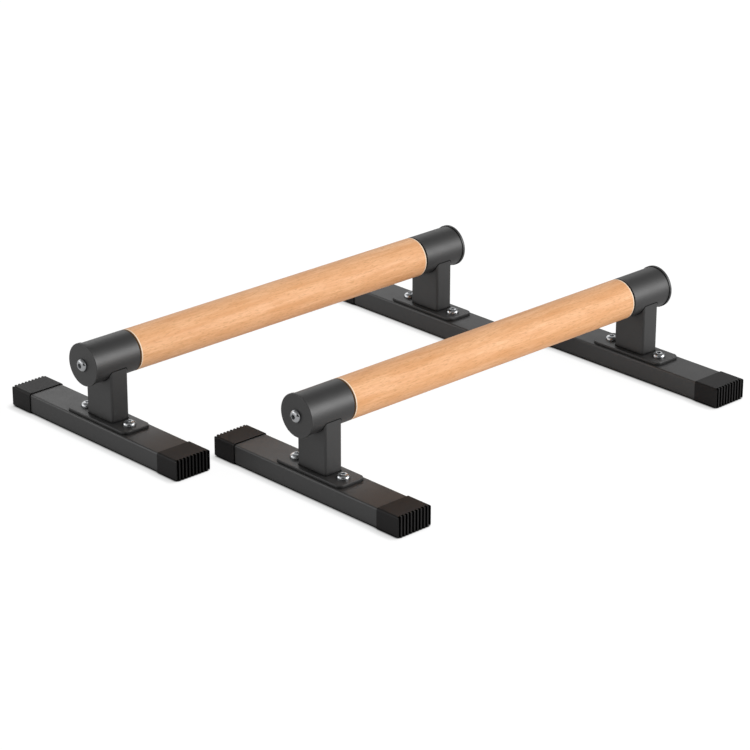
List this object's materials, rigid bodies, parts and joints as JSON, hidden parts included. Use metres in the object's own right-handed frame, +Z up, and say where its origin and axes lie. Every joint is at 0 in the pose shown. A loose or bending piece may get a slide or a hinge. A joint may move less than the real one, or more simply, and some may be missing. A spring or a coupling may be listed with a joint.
{
  "type": "parallette bars",
  "caption": "Matched low parallette bars: round beech grips in steel sleeves, on posts with wide flat feet and ribbed rubber end caps, for floor handstands and dips.",
  "frame": {"origin": "on the floor, in the middle of the pair", "axes": "+X along the grips, +Y across them from the right bar to the left bar, +Z up"},
  "size_m": [0.6172, 0.5274, 0.1139],
  "materials": {
    "beech": "clear satin varnish",
    "powder_coated_steel": "satin powder coat",
    "zinc_plated_steel": "bright zinc plate",
    "black_rubber": "matte moulded"
  },
  "bodies": {
    "right_bar": {"right_grip": "beech", "right_front_sleeve": "powder_coated_steel", "right_front_end_cap": "powder_coated_steel", "right_front_post": "powder_coated_steel", "right_front_base_plate": "powder_coated_steel", "right_front_foot_tube": "powder_coated_steel", "right_front_right_foot_cap": "black_rubber", "right_front_left_foot_cap": "black_rubber", "right_rear_sleeve": "powder_coated_steel", "right_rear_end_cap": "powder_coated_steel", "right_rear_post": "powder_coated_steel", "right_rear_base_plate": "powder_coated_steel", "right_rear_foot_tube": "powder_coated_steel", "right_rear_right_foot_cap": "black_rubber", "right_rear_left_foot_cap": "black_rubber", "right_end_screws": "zinc_plated_steel", "right_thread_inserts": "zinc_plated_steel", "right_post_welds": "powder_coated_steel", "right_base_bolts": "zinc_plated_steel", "right_weld_nuts": "zinc_plated_steel"},
    "left_bar": {"left_grip": "beech", "left_front_sleeve": "powder_coated_steel", "left_front_end_cap": "powder_coated_steel", "left_front_post": "powder_coated_steel", "left_front_base_plate": "powder_coated_steel", "left_front_foot_tube": "powder_coated_steel", "left_front_right_foot_cap": "black_rubber", "left_front_left_foot_cap": "black_rubber", "left_rear_sleeve": "powder_coated_steel", "left_rear_end_cap": "powder_coated_steel", "left_rear_post": "powder_coated_steel", "left_rear_base_plate": "powder_coated_steel", "left_rear_foot_tube": "powder_coated_steel", "left_rear_right_foot_cap": "black_rubber", "left_rear_left_foot_cap": "black_rubber", "left_end_screws": "zinc_plated_steel", "left_thread_inserts": "zinc_plated_steel", "left_post_welds": "powder_coated_steel", "left_base_bolts": "zinc_plated_steel", "left_weld_nuts": "zinc_plated_steel"}
  },
  "joints": [
    {"name": "bar_spacing", "type": "slide", "parent": "right_bar", "child": "left_bar", "axis": [0, 1, 0], "range_m": [-0.19, 0.35]}
  ]
}
